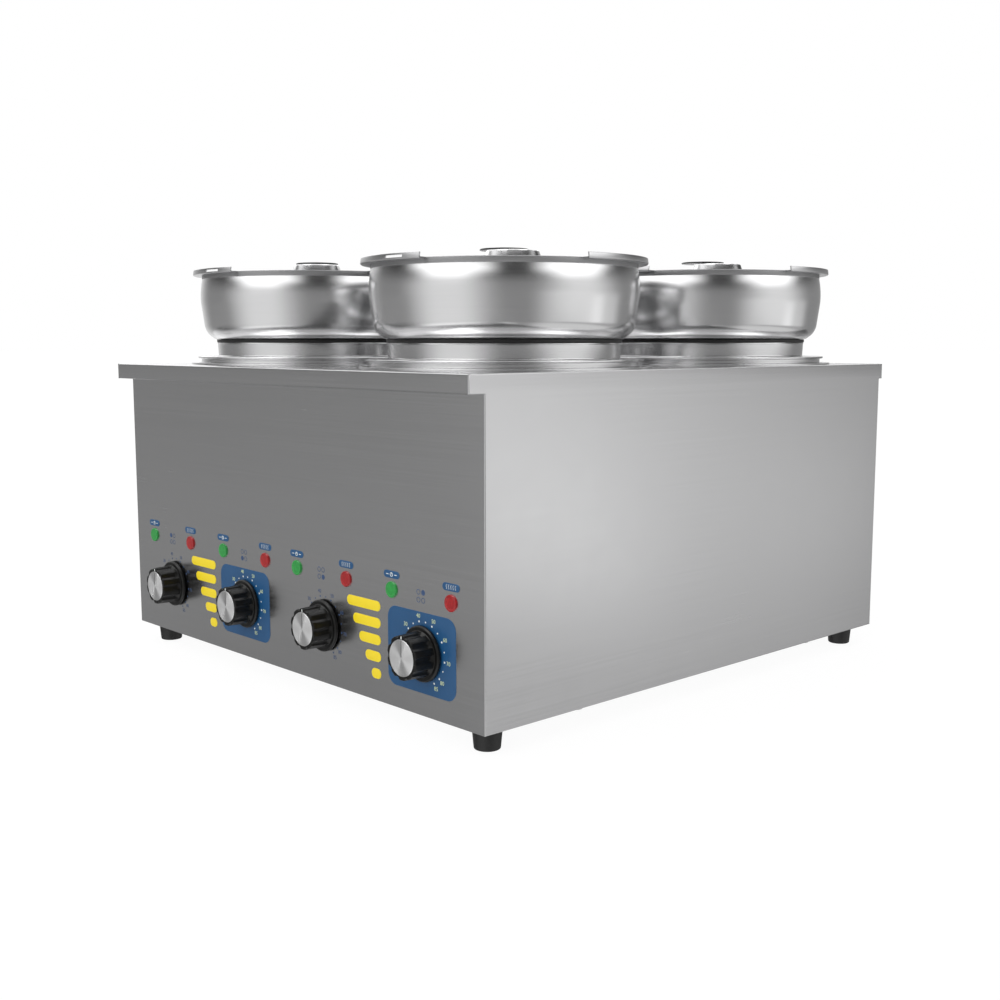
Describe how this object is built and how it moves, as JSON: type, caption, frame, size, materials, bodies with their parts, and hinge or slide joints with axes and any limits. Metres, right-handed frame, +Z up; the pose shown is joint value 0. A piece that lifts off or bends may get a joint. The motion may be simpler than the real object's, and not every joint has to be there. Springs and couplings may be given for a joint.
{
  "type": "bain marie",
  "caption": "Counter-top electric bain marie: a box housing with round lift-out stepped pots with lids on collars, and rotary thermostat dials with signal lamps.",
  "frame": {"origin": "on the floor under the middle of the housing, which is the middle of the box round the whole part", "axes": "+Z up, -Y out of the control panel, +X to the right of someone who stands at the controls"},
  "size_m": [0.48, 0.527, 0.3486],
  "materials": {
    "housing_steel": "fine brushed stainless sheet",
    "collar_steel": "spun stainless, satin",
    "well_steel": "deep-drawn stainless, satin",
    "pot_steel": "polished stainless with soft reflections",
    "grip_steel": "satin stainless strip",
    "lid_steel": "polished stainless",
    "seat_rubber": "black silicone",
    "lid_knob_plastic": "black heat-resistant plastic",
    "dial_plastic": "black moulded plastic",
    "cap_aluminium": "spun, radially brushed",
    "shaft_steel": "plain turned steel",
    "thermostat_case": "zinc-plated case",
    "element_steel": "dull sheathed element",
    "tube_metal": "drawn copper",
    "green_lens": "translucent green",
    "red_lens": "translucent red",
    "blue_foil": "printed foil",
    "yellow_foil": "printed foil",
    "foot_rubber": "black moulded rubber",
    "screw_steel": "zinc-plated",
    "gland_plastic": "black nylon",
    "terminal_plastic": "pale thermoset"
  },
  "bodies": {
    "housing": {"deck": "housing_steel", "front_panel": "housing_steel", "rear_panel": "housing_steel", "side_panel_left": "housing_steel", "side_panel_right": "housing_steel", "base_plate": "housing_steel", "collar_1": "collar_steel", "collar_2": "collar_steel", "collar_3": "collar_steel", "collar_4": "collar_steel", "well_1": "well_steel", "well_2": "well_steel", "well_3": "well_steel", "well_4": "well_steel", "seat_gaskets": "seat_rubber", "thermostat_1": "thermostat_case", "thermostat_2": "thermostat_case", "thermostat_3": "thermostat_case", "thermostat_4": "thermostat_case", "heaters": "element_steel", "heater_clamps": "well_steel", "sensor_bulbs": "tube_metal", "capillary_tubes": "tube_metal", "power_lamps": "green_lens", "heat_lamps": "red_lens", "dial_plates": "blue_foil", "accent_bars": "yellow_foil", "lamp_labels": "blue_foil", "feet": "foot_rubber", "fasteners": "screw_steel", "cable_gland": "gland_plastic", "terminal_block": "terminal_plastic"},
    "pot_1": {"pot_1": "pot_steel", "pot_grips_1": "grip_steel"},
    "lid_1": {"lid_1": "lid_steel", "lid_knob_1": "lid_knob_plastic"},
    "dial_1": {"knob_1": "dial_plastic", "knob_cap_1": "cap_aluminium", "thermostat_shaft_1": "shaft_steel"},
    "pot_2": {"pot_2": "pot_steel", "pot_grips_2": "grip_steel"},
    "lid_2": {"lid_2": "lid_steel", "lid_knob_2": "lid_knob_plastic"},
    "dial_2": {"knob_2": "dial_plastic", "knob_cap_2": "cap_aluminium", "thermostat_shaft_2": "shaft_steel"},
    "pot_3": {"pot_3": "pot_steel", "pot_grips_3": "grip_steel"},
    "lid_3": {"lid_3": "lid_steel", "lid_knob_3": "lid_knob_plastic"},
    "dial_3": {"knob_3": "dial_plastic", "knob_cap_3": "cap_aluminium", "thermostat_shaft_3": "shaft_steel"},
    "pot_4": {"pot_4": "pot_steel", "pot_grips_4": "grip_steel"},
    "lid_4": {"lid_4": "lid_steel", "lid_knob_4": "lid_knob_plastic"},
    "dial_4": {"knob_4": "dial_plastic", "knob_cap_4": "cap_aluminium", "thermostat_shaft_4": "shaft_steel"}
  },
  "joints": [
    {"name": "pot_1_lift", "type": "slide", "parent": "housing", "child": "pot_1", "axis": [0, 0, 1], "range_m": [0, 0.18]},
    {"name": "lid_1_lift", "type": "slide", "parent": "pot_1", "child": "lid_1", "axis": [0, 0, 1], "range_m": [0, 0.06]},
    {"name": "pot_2_lift", "type": "slide", "parent": "housing", "child": "pot_2", "axis": [0, 0, 1], "range_m": [0, 0.18]},
    {"name": "lid_2_lift", "type": "slide", "parent": "pot_2", "child": "lid_2", "axis": [0, 0, 1], "range_m": [0, 0.06]},
    {"name": "pot_3_lift", "type": "slide", "parent": "housing", "child": "pot_3", "axis": [0, 0, 1], "range_m": [0, 0.18]},
    {"name": "lid_3_lift", "type": "slide", "parent": "pot_3", "child": "lid_3", "axis": [0, 0, 1], "range_m": [0, 0.06]},
    {"name": "pot_4_lift", "type": "slide", "parent": "housing", "child": "pot_4", "axis": [0, 0, 1], "range_m": [0, 0.18]},
    {"name": "lid_4_lift", "type": "slide", "parent": "pot_4", "child": "lid_4", "axis": [0, 0, 1], "range_m": [0, 0.06]},
    {"name": "dial_1_turn", "type": "hinge", "parent": "housing", "child": "dial_1", "pos_m": [-0.1718, -0.243, 0.0624], "axis": [0, 1, 0], "range_deg": [-95, 150]},
    {"name": "dial_2_turn", "type": "hinge", "parent": "housing", "child": "dial_2", "pos_m": [-0.0526, -0.243, 0.0624], "axis": [0, 1, 0], "range_deg": [-95, 150]},
    {"name": "dial_3_turn", "type": "hinge", "parent": "housing", "child": "dial_3", "pos_m": [0.0574, -0.243, 0.0624], "axis": [0, 1, 0], "range_deg": [-95, 150]},
    {"name": "dial_4_turn", "type": "hinge", "parent": "housing", "child": "dial_4", "pos_m": [0.1766, -0.243, 0.0624], "axis": [0, 1, 0], "range_deg": [-95, 150]}
  ]
}
